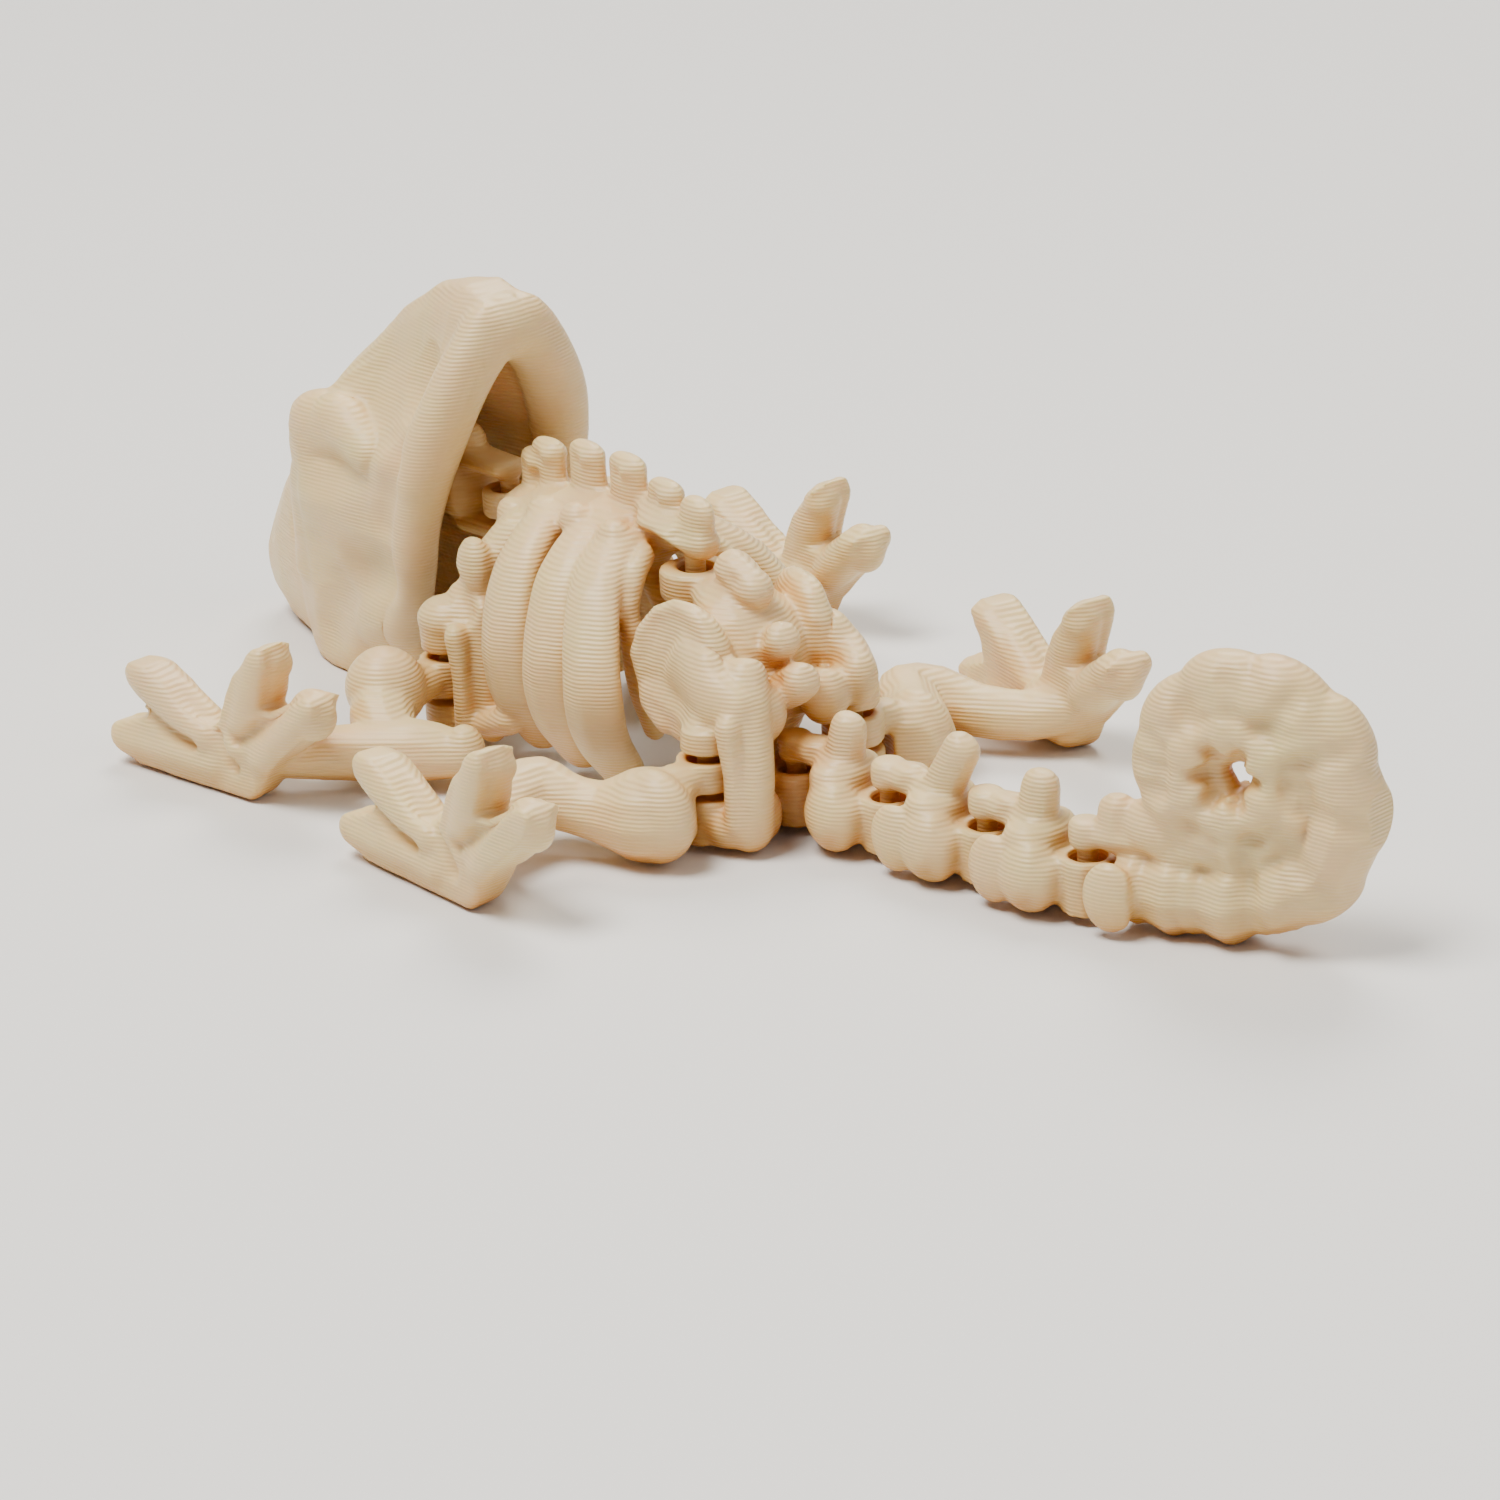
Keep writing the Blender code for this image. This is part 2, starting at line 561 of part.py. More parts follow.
# the foot's outline on its flat sole: two paddles of toes over a straight lower edge
FOOT = ((0.0, 0.05), (0.7, 0.6), (1.6, 2.1), (3.0, 3.5), (4.9, 5.2), (6.0, 6.6), (6.6, 7.9),
        (5.9, 8.3), (4.1, 7.5), (2.1, 6.4), (1.3, 6.4), (1.8, 8.0), (2.3, 9.7), (2.2, 10.8),
        (1.3, 10.6), (0.4, 9.5), (-0.8, 8.4), (-1.7, 6.9), (-2.4, 5.0), (-3.4, 4.2), (-4.8, 4.5),
        (-6.1, 5.3), (-7.4, 6.3), (-9.1, 7.2), (-10.8, 7.2), (-11.2, 6.5), (-10.6, 5.5),
        (-9.9, 4.6), (-9.6, 3.6), (-11.8, 2.9), (-12.9, 2.5), (-13.0, 1.6), (-12.1, 0.8),
        (-10.5, 0.1), (-4.6, 0.0))
FOOT_LAYERS = ((0.0, 0.2), (0.35, 0.0), (2.1, 0.1), (3.0, 0.6))     # y and inset


def mirrored(body, frame):
    """A frame of the left side, mirrored in the middle plane of the body it belongs to."""
    return body @ Matrix.Diagonal((1, -1, 1, 1)) @ body.inverted() @ frame


def leg(shops, material, model, name, frame, eye_z, bones, foot):
    """A leg in its own frame, with the pin at its origin: eye, bones and the foot on its edge."""
    shop = Shop(frame, shops)
    low, high = eye_z
    eye(shop, (0, 0, (low + high) / 2), high - low, LEG_HOLE, LEG_RIM)
    for points, radii in bones:
        shop.limb(points, radii, sides=10)
    shop.slab([Vector(point) for point in FOOT], FOOT_LAYERS, frame @ foot)
    # room for the lugs over and under the eye
    shop.rod((0, 0, -2), (0, 0, low), LEG_RIM + PLAY, use=CUT)
    shop.rod((0, 0, high), (0, 0, 14), LEG_RIM + PLAY, use=CUT)
    return fuse(shop, name, material, model, frame.translation.xy)


FRONT_BONES = (
    (((0, -1.4, 4.8), (-0.4, -3.0, 4.7), (-0.4, -4.8, 4.6), (0.9, -6.6, 4.0), (2.8, -7.3, 3.0)),
     ((1.4, 1.15), (1.9, 1.6), (2.2, 2.1), (2.2, 2.1), (1.8, 1.8))),
    (((7.0, -5.4, 2.5), (4.2, -7.0, 2.6), (0.6, -10.7, 2.6), (-2.4, -13.6, 3.1), (-3.2, -14.4, 3.5)),
     (1.5, 2.1, 1.75, 1.8, 1.7)),
)
HIND_BONES = (
    (((0, -1.4, 4.9), (-0.3, -2.6, 4.9)), ((1.3, 0.95), (1.4, 1.1))),
    (((-0.6, -4.2, 3.15), (-1.8, -5.0, 3.1), (-3.5, -6.1, 3.2), (-5.5, -7.1, 3.7),
      (-7.1, -7.6, 4.1), (-7.2, -9.4, 4.1), (-6.6, -12.0, 3.7), (-6.2, -14.6, 3.8)),
     (3.0, 2.8, 1.9, 1.9, 2.2, 2.1, 1.7, 1.7)),
)
# the right hind leg lies further back, so its knee and shin follow the photo
HIND_RIGHT_BONES = (
    (((0, 1.4, 4.9), (0.3, 2.6, 4.9)), ((1.3, 0.95), (1.4, 1.1))),
    (((0.9, 4.3, 3.05), (0.0, 5.2, 3.0), (-1.6, 6.8, 3.4), (-3.2, 8.0, 3.7), (-2.2, 9.6, 3.4),
      (0.4, 10.7, 2.7), (3.4, 12.3, 2.6), (5.4, 13.9, 3.2)),
     (2.8, 2.7, 2.2, 2.1, 2.0, 1.8, 1.7, 1.7)),
)
MIRROR = Matrix.Diagonal((1, -1, 1, 1))


def legs(shops, material, model):
    front = place(*SHOULDER_PIN)
    hind = place(*HIP_PIN)
    right_hind = Matrix.Translation(mirrored(PELVIS, hind).translation)
    for name, frame, eye_z, bones, foot in (
            ("front_leg_left", front, SHOULDER_EYE, FRONT_BONES, place(-1.9, -15.5, 5.0, FLOOR)),
            ("front_leg_right", mirrored(THORAX, front), SHOULDER_EYE, FRONT_BONES,
             place(-2.5, -15.9, -8.0, FLOOR)),
            ("hind_leg_left", hind, HIP_EYE, HIND_BONES, place(-3.6, -16.7, -4.0, FLOOR)),
            ("hind_leg_right", right_hind, HIP_EYE, HIND_RIGHT_BONES,
             place(5.8, 16.0, -16.0, FLOOR) @ MIRROR)):
        leg(shops, material, model, name, frame, eye_z, bones, foot)


# Tail

TAIL_STEP = 7.6                 # from one tail pin to the next
TAIL_ARM = (4.5, 6.3)           # lowest and highest z of the arm that reaches forward over the eye
# each piece's stub: x at its foot and at its top, z of its top
TAIL_STUBS = ((4.0, 4.5, 8.6), (4.2, 5.8, 9.2), (3.9, 4.2, 8.5), (1.9, 1.9, 8.0))


def tail_front(shop, foot, top, stub):
    """The arm over the eye in front, its pin going down into the eye, and the stub on top."""
    low, high = TAIL_ARM
    middle, half = (low + high) / 2, (high - low) / 2
    shop.drum((0, 0), (1.15, 1.15), low, high, edge=0.4, sides=12)
    shop.limb([(0.4, 0, middle), (2.0, 0, middle + 0.1), (4.0, 0, middle)],
              [(1.1, half), (1.3, half + 0.15), (1.2, half)], sides=8)
    shop.limb([(foot, 0, high - 0.8), (top, 0, stub - 0.9)], [(1.4, 1.2), (1.3, 1.05)], sides=8)
    # room for the eye in front, then the pin that goes down through it
    shop.rod((0, 0, -1), (0, 0, low), EYE_RIM + PLAY, use=CUT)
    pin(shop, 0, 0, 1.2, middle, EYE_HOLE)


def tail_piece(shops, material, model, index):
    shop = Shop(TAILS[index], shops)
    tail_front(shop, *TAIL_STUBS[index])
    shop.drum((4.05, 0), (1.9, 2.6), 0.3, 5.5)
    low, high = TAIL_EYE
    middle = (low + high) / 2
    shop.limb([(4.6, 0, middle), (6.6, 0, middle)], [(1.8, 1.6), (1.6, 1.6)])
    eye(shop, (TAIL_STEP, 0, middle), high - low, EYE_HOLE, EYE_RIM - 0.1)
    return fuse(shop, "tail_%d" % (index + 1), material, model, TAIL_PINS[index])


# the coil: centre of its spiral in the frame of its piece, x and z, and its turns
COIL_CENTRE = (9.4, 10.5)
# each station: angle, distance of the centre line from the centre, tube radius in and across
COIL_TURNS = (
    (-90, 7.8, 2.5, 2.3), (-45, 7.4, 2.4, 2.3), (0, 6.5, 2.2, 2.2), (45, 5.7, 2.1, 2.1),
    (90, 4.9, 2.0, 2.0), (135, 4.2, 1.8, 1.8), (180, 3.9, 1.7, 1.7), (225, 3.8, 1.8, 1.5),
    (270, 3.6, 1.7, 1.4), (315, 3.1, 1.5, 1.3), (360, 2.7, 1.4, 1.2), (405, 2.3, 1.3, 1.2),
    (450, 2.0, 1.2, 1.1), (495, 1.7, 1.1, 1.1), (540, 1.5, 1.0, 1.0), (590, 1.35, 0.9, 1.0),
)


def coil_point(angle, distance):
    """A point of the spiral, which runs on from the tail, up and forward over it."""
    turn = math.radians(angle)
    return (COIL_CENTRE[0] + distance * math.cos(turn), 0.0, COIL_CENTRE[1] + distance * math.sin(turn))


def tail_coil(shops, material, model):
    shop = Shop(TAILS[3], shops)
    tail_front(shop, *TAIL_STUBS[3])
    root = [(3.4, 0, 2.7), (4.8, 0, 2.65), (6.8, 0, 2.65)]
    # three stretches, so that none of them meets itself; each starts a little inside the last
    for first, last in ((0, 8), (7, 13), (12, 16)):
        turns = list(COIL_TURNS[first:last])
        if first > 0:
            angle, distance, inward, across = turns[0]
            turns[0] = (angle - 9, distance + 0.03, inward - 0.07, across - 0.05)
        points = [coil_point(angle, distance) for angle, distance, _, _ in turns]
        radii = [(across, inward) for _, _, inward, across in turns]
        if first == 0:
            points = root + points
            radii = [(2.4, 2.5), (2.3, 2.5), (2.3, 2.5)] + radii
        shop.limb(points, radii, sides=10)
    return fuse(shop, "tail_coil", material, model, TAIL_PINS[3])


def build():
    clear_scene()
    model = new_collection(MODEL)
    shops = new_collection("solids")
    material = ivory_plastic()
    skull(shops, material, model)
    backbone(shops, material, model)
    rib_side(shops, material, model, -1, "ribs_left")
    rib_side(shops, material, model, 1, "ribs_right")
    pelvis(shops, material, model)
    legs(shops, material, model)
    for index in range(3):
        tail_piece(shops, material, model, index)
    tail_coil(shops, material, model)
    bpy.data.collections.remove(shops)


build()
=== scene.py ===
"""Looks of the jointed chameleon skeleton toy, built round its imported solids.

Each printed piece gets one skin: its solids and the finer forms of the photo, fused, softened and
finished as ivory plastic with the level layer lines of the print. Forms are written in millimetres
in the frame of their piece: x runs back along it, y to the animal's right, z up from the table.
"""
import math

import bmesh
import bpy
import numpy as np
from mathutils import Matrix, Vector, noise


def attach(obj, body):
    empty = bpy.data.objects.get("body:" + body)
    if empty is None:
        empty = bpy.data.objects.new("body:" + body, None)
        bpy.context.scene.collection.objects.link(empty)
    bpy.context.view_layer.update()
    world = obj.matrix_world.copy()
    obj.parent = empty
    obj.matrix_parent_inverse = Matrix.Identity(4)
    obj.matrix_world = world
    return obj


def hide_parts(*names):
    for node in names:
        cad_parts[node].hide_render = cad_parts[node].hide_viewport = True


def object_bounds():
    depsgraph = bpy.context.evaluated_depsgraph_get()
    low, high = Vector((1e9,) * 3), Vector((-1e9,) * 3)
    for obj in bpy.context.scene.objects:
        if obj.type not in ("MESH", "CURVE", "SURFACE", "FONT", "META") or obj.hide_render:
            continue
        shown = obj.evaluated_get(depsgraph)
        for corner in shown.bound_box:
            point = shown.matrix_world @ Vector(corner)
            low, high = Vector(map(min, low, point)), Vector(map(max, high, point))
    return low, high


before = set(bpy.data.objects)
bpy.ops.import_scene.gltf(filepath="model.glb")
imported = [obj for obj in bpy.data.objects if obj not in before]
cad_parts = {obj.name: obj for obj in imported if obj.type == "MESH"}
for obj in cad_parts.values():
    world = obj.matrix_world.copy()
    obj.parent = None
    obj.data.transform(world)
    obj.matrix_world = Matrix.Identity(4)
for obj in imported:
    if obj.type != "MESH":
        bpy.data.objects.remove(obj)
cad_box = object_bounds()

MM = 0.001
MIDDLE = Vector((-3.35, 2.15, 0.0))     # origin of the part, in the drawing's millimetres
VOXEL = 0.2      # grid of the skins
SMOOTH_ROUNDS = 6  # how often a fused skin is softened
LAYER = 0.25                            # height of a printed layer


def place(x, y, yaw=0.0, z=0.0):
    """A frame of the drawing: its origin, turned by yaw in degrees."""
    return Matrix.Translation((x, y, z)) @ Matrix.Rotation(math.radians(yaw), 4, "Z")


SKULL = place(-33.5, 3.6, -4.0)
THORAX = place(-12.0, 1.44, -7.0)
PELVIS = place(-4.3, 0.4, -9.0)
FRONT_LEFT = place(-22.2, -5.2)
HIND_LEFT = place(3.2, -6.3)
TAILS = [place(5.4, -1.0, 3.0), place(13.0, -0.6, 4.0), place(20.6, -0.1, 3.0),
         place(28.2, 0.3, 19.0)]
FLIP = Matrix.Diagonal((1, -1, 1, 1))
FLOOR = 0.1                             # height of whatever rests on the table


def mirrored(body, where):
    """A frame of the left side, mirrored in the middle plane of the body it belongs to."""
    return body @ FLIP @ body.inverted() @ where


# Making forms

def smooth_path(points, steps):
    """Points of a Catmull-Rom curve through the given points, steps to each stretch."""
    points = [Vector(p) for p in points]
    if len(points) < 3:
        return [points[0].lerp(points[-1], step / steps) for step in range(steps + 1)]
    padded = [points[0] * 2 - points[1]] + points + [points[-1] * 2 - points[-2]]
    path = []
    for index in range(1, len(padded) - 2):
        a, b, c, d = padded[index - 1:index + 3]
        for step in range(steps):
            t = step / steps
            path.append(0.5 * (2 * b + (c - a) * t + (2 * a - 5 * b + 4 * c - d) * t * t
                               + (3 * b - a - 3 * c + d) * t * t * t))
    path.append(points[-1])
    return path


CAP_SHARES = (0.45, 0.8, 0.97)     # where the rings of a rounded end lie, in radii


class Forms:
    """A bmesh of closed forms that overlap; a skin fuses them."""

    def __init__(self):
        self.bm = bmesh.new()

    def take(self, other, matrix):
        """Adds another bmesh, given in the millimetres of a drawing frame."""
        if matrix.determinant() < 0:
            bmesh.ops.reverse_faces(other, faces=other.faces)
        other.transform(Matrix.Scale(MM, 4) @ Matrix.Translation(-MIDDLE) @ matrix)
        mesh = bpy.data.meshes.new("form")
        other.to_mesh(mesh)
        other.free()
        self.bm.from_mesh(mesh)
        bpy.data.meshes.remove(mesh)

    def node(self, name):
        """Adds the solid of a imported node."""
        self.bm.from_mesh(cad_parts[name].data)

    def ball(self, where, centre, radii, turn=(0, 0, 0)):
        """An ellipsoid; turn is about x, y and z, in degrees."""
        rotation = (Matrix.Rotation(math.radians(turn[2]), 4, "Z")
                    @ Matrix.Rotation(math.radians(turn[1]), 4, "Y")
                    @ Matrix.Rotation(math.radians(turn[0]), 4, "X"))
        matrix = Matrix.Translation(centre) @ rotation @ Matrix.Diagonal((*radii, 1))
        bm = bmesh.new()
        bmesh.ops.create_uvsphere(bm, u_segments=20, v_segments=12, radius=1.0, matrix=matrix)
        self.take(bm, where)

    def limb(self, where, points, radii, sides=16, steps=5):
        """A rounded bone along a smooth curve; a radius is one number or (across, upright)."""
        path = smooth_path(points, steps)
        pairs = [(r, r) if isinstance(r, (int, float)) else r for r in radii]
        sizes = smooth_path([(across, upright, 0) for across, upright in pairs], steps)
        rings = []
        side = None
        for index, centre in enumerate(path):
            ahead = (path[min(index + 1, len(path) - 1)] - path[max(index - 1, 0)]).normalized()
            if side is None:
                side = ahead.cross(Vector((0, 0, 1)))
                if side.length < 0.5:
                    side = ahead.cross(Vector((0, 1, 0)))
            side = (side - ahead * side.dot(ahead)).normalized()
            rings.append((centre, ahead, side, side.cross(ahead), sizes[index].x, sizes[index].y))
        capped = [self.cap(rings[0], -share) for share in reversed(CAP_SHARES)]
        capped += rings
        capped += [self.cap(rings[-1], share) for share in CAP_SHARES]
        bm = bmesh.new()
        rows = []
        for centre, ahead, side, top, across, upright in capped:
            row = []
            for step in range(sides):
                angle = 2 * math.pi * step / sides
                spot = centre + side * across * math.cos(angle) + top * upright * math.sin(angle)
                row.append(bm.verts.new(spot))
            rows.append(row)
        for near, far in zip(rows, rows[1:]):
            for step in range(sides):
                following = (step + 1) % sides
                bm.faces.new((near[step], near[following], far[following], far[step]))
        bm.faces.new(rows[0])
        bm.faces.new(rows[-1])
        bmesh.ops.recalc_face_normals(bm, faces=bm.faces)
        self.take(bm, where)

    @staticmethod
    def cap(ring, share):
        """One more ring of a rounded end, a share of the end's radius beyond it."""
        centre, ahead, side, top, across, upright = ring
        shrink = math.sqrt(1 - share * share)
        beyond = centre + ahead * share * min(across, upright)
        return beyond, ahead, side, top, across * shrink, upright * shrink


# Plastic

# colours of painted shade by how open a place is: deep ones are painted amber, a painted shade and glow of
# light held in the plastic, open ones are cream (0 is closed in, 1 is open)
PAINTED_SHADE_TONES = ((0.18, (0.62, 0.27, 0.045)), (0.48, (0.79, 0.51, 0.20)), (0.86, (0.83, 0.62, 0.315)))
PAINTED_SHADE_REACH = 0.005                # metres within which other plastic makes a place deep, and so painted in amber shade
GLOW_DEPTH = 0.0014                 # metres that red light goes into the plastic
GLOW_SHARES = (1.0, 0.65, 0.28)     # of that depth, for red, green and blue
ROUGHNESS = (0.30, 0.52)            # from the glossy layers to the dull patches
LAYER_WAVER = 0.00014               # metres that a layer line wanders up and down
LAYER_RELIEF = 0.00008              # metres that a layer line stands out
GRAIN_RELIEF = 0.00005
# noises, as turns to the metre and how many finer ones are laid over them
CLOUD, DULL, WAVER, PATCH, GRAIN = (180.0, 3.0), (420.0, 4.0), (260.0, 2.0), (330.0, 1.0), (1900.0, 3.0)


class Tree:
    """The nodes of a material, with short ways to add the ones that repeat."""

    def __init__(self, material):
        material.use_nodes = True
        self.nodes = material.node_tree.nodes
        self.link = material.node_tree.links.new
        self.shader = self.nodes["Principled BSDF"]
        self.where = self.nodes.new("ShaderNodeTexCoord").outputs["Object"]

    def noise(self, scale, detail):
        node = self.nodes.new("ShaderNodeTexNoise")
        node.inputs["Scale"].default_value = scale
        node.inputs["Detail"].default_value = detail
        self.link(self.where, node.inputs["Vector"])
        return node

    def calculate(self, operation, *values):
        """A math node; each value is a number or the output of another node."""
        node = self.nodes.new("ShaderNodeMath")
        node.operation = operation
        for inlet, value in zip(node.inputs, values):
            if isinstance(value, (int, float)):
                inlet.default_value = value
            else:
                self.link(value, inlet)
        return node.outputs[0]

    def bump(self, height, strength, relief):
        node = self.nodes.new("ShaderNodeBump")
        node.inputs["Strength"].default_value = strength
        node.inputs["Distance"].default_value = relief
        self.link(height, node.inputs["Height"])
        return node


def ivory_plastic():
    """Slightly translucent ivory plastic, printed in level layers."""
    material = bpy.data.materials.new("ivory_plastic")
    tree = Tree(material)
    shader = tree.shader
    shader.inputs["Subsurface Weight"].default_value = 0.35
    shader.inputs["Subsurface Radius"].default_value = GLOW_SHARES
    shader.inputs["Subsurface Scale"].default_value = GLOW_DEPTH
    shader.inputs["IOR"].default_value = 1.46
    shader.inputs["Coat Weight"].default_value = 0.12
    shader.inputs["Coat Roughness"].default_value = 0.22
    # the base colour holds painted shade: an amber glow painted into deep places
    tree.link(plastic_colour_and_painted_shade(tree), shader.inputs["Base Color"])
    tree.link(plastic_roughness(tree), shader.inputs["Roughness"])
    tree.link(plastic_relief(tree), shader.inputs["Normal"])
    return material


def plastic_colour_and_painted_shade(tree):
    """Painted shade: amber in deep places and cream in open ones, by ambient occlusion, under faint clouds.
    """
    # ambient occlusion measures how closed in a place is, for the painted shade
    painted_shade = tree.nodes.new("ShaderNodeAmbientOcclusion")
    painted_shade.samples = 8
    painted_shade.inputs["Distance"].default_value = PAINTED_SHADE_REACH
    ramp = tree.nodes.new("ShaderNodeValToRGB")
    stops = ramp.color_ramp.elements
    stops.new(PAINTED_SHADE_TONES[1][0])
    for stop, (position, colour) in zip(stops, PAINTED_SHADE_TONES):
        stop.position = position
        stop.color = (*colour, 1)
    tree.link(painted_shade.outputs["AO"], ramp.inputs["Fac"])
    tint = tree.nodes.new("ShaderNodeMix")
    tint.data_type = "RGBA"
    tint.blend_type = "MULTIPLY"
    tint.inputs["Factor"].default_value = 0.16
    tree.link(ramp.outputs["Color"], tint.inputs["A"])
    tree.link(tree.noise(*CLOUD).outputs["Color"], tint.inputs["B"])
    return tint.outputs["Result"]


def plastic_roughness(tree):
    """Glossy on the layers, with dull patches."""
    spread = tree.nodes.new("ShaderNodeMapRange")
    spread.inputs["To Min"].default_value, spread.inputs["To Max"].default_value = ROUGHNESS
    tree.link(tree.noise(*DULL).outputs["Fac"], spread.inputs["Value"])
    return spread.outputs["Result"]


def plastic_relief(tree):
    """Layer lines, a ripple in height that wavers and fades a little, under a fine grain."""
    split = tree.nodes.new("ShaderNodeSeparateXYZ")
    tree.link(tree.where, split.inputs["Vector"])
    wander = tree.noise(*WAVER).outputs["Fac"]
    height = tree.calculate("MULTIPLY_ADD", wander, LAYER_WAVER, split.outputs["Z"])
    ripple = tree.calculate("SINE", tree.calculate("MULTIPLY", height, 2 * math.pi / (LAYER * MM)))
    uneven = tree.calculate("MULTIPLY", ripple, tree.noise(*PATCH).outputs["Fac"])
    lines = tree.bump(uneven, 0.45, LAYER_RELIEF)
    pitted = tree.bump(tree.noise(*GRAIN).outputs["Fac"], 0.35, GRAIN_RELIEF)
    tree.link(lines.outputs["Normal"], pitted.inputs["Normal"])
    return pitted.outputs["Normal"]


IVORY = ivory_plastic()


# Working the surface

def skin(name, body, nodes, forms, strokes):
    """Fuses forms into one softened skin that rides on a body and stands for its nodes.

    Each stroke is (frame, points, radius, height, facing): it raises the surface along a smooth
    curve, or presses it in where height is negative, on the side that looks along facing.
    """
    mesh = bpy.data.meshes.new(name)
    forms.bm.to_mesh(mesh)
    forms.bm.free()
    obj = bpy.data.objects.new(name, mesh)
    bpy.context.scene.collection.objects.link(obj)
    remesh = obj.modifiers.new("fuse", "REMESH")
    remesh.mode = "VOXEL"
    remesh.voxel_size = VOXEL * MM
    soften = obj.modifiers.new("soften", "SMOOTH")
    soften.factor = 0.5
    soften.iterations = SMOOTH_ROUNDS
    bpy.context.view_layer.update()
    graph = bpy.context.evaluated_depsgraph_get()
    fused = bpy.data.meshes.new_from_object(obj.evaluated_get(graph))
    obj.modifiers.clear()
    obj.data = fused
    bpy.data.meshes.remove(mesh)
    fused.name = name
    waver(fused)
    for stroke in strokes:
        carve(fused, *stroke)
    hold_in_box(fused)
    fused.materials.clear()
    fused.materials.append(IVORY)
    fused.shade_smooth()
    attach(obj, body)
    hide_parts(*nodes)


def surface(mesh):
    """The places and the normals of a mesh's vertices, a row for each."""
    places = np.empty(len(mesh.vertices) * 3)
    normals = np.empty(len(mesh.vertices) * 3)
    mesh.vertices.foreach_get("co", places)
    mesh.vertex_normals.foreach_get("vector", normals)
    return places.reshape(-1, 3), normals.reshape(-1, 3)


def set_places(mesh, places):
    mesh.vertices.foreach_set("co", places.ravel())
    mesh.update()


UNEVEN = 0.07       # how far the modelled surface wavers, in millimetres
LUMP = 2.4          # width of one waver


def waver(mesh):
    """Small soft unevenness of a hand-modelled form, along the normals."""
    places, normals = surface(mesh)
    scale = 1 / (LUMP * MM)
    lift = np.array([noise.noise(Vector(p) * scale) for p in places]) * UNEVEN * MM
    set_places(mesh, places + normals * lift[:, None])


FACING_SHARE = 0.15      # a stroke works where a normal has more than this share along its facing


def carve(mesh, where, points, radius, height, facing=None):
    """Raises or presses the surface near a smooth curve, along its normals."""
    places, normals = surface(mesh)
    to_part = Matrix.Translation(-MIDDLE) @ where
    path = np.array([to_part @ p for p in smooth_path(points, 4)]) * MM
    reach = radius * MM
    near = np.all((places > path.min(axis=0) - reach) & (places < path.max(axis=0) + reach), axis=1)
    if facing is not None:
        look = np.array((to_part.to_3x3() @ Vector(facing)).normalized())
        near &= normals @ look > FACING_SHARE
    chosen = np.nonzero(near)[0]
    if len(chosen) == 0:
        return
    spots = places[chosen]
    nearest = np.full(len(chosen), np.inf)
    for start, end in zip(path, path[1:]):
        along = end - start
        share = np.clip((spots - start) @ along / max(along @ along, 1e-18), 0, 1)
        gap = np.linalg.norm(spots - start - share[:, None] * along, axis=1)
        nearest = np.minimum(nearest, gap)
    weight = np.clip(1 - (nearest / reach) ** 2, 0, 1) ** 2
    places[chosen] += normals[chosen] * (weight * height * MM)[:, None]
    set_places(mesh, places)


BOX_MARGIN = 0.02       # how far a skin stays inside the solids' box, in millimetres


def hold_in_box(mesh):
    """Keeps a skin inside the box of the solids, and off the table."""
    low = np.array(cad_box[0]) + BOX_MARGIN * MM
    high = np.array(cad_box[1]) - BOX_MARGIN * MM
    set_places(mesh, np.clip(surface(mesh)[0], low, high))


# Skins

RIM = ((2.4, 3.9, 2.2), (3.7, 4.9, 5.6), (5.2, 5.6, 9.4), (6.6, 5.7, 14.4), (7.9, 4.9, 19.0),
       (8.8, 3.1, 23.2), (9.0, 1.4, 25.2), (9.1, 0.0, 25.7))
RIM_RADII = (1.2, 1.4, 1.5, 1.7, 2.0, 2.1, 2.2, 2.3)


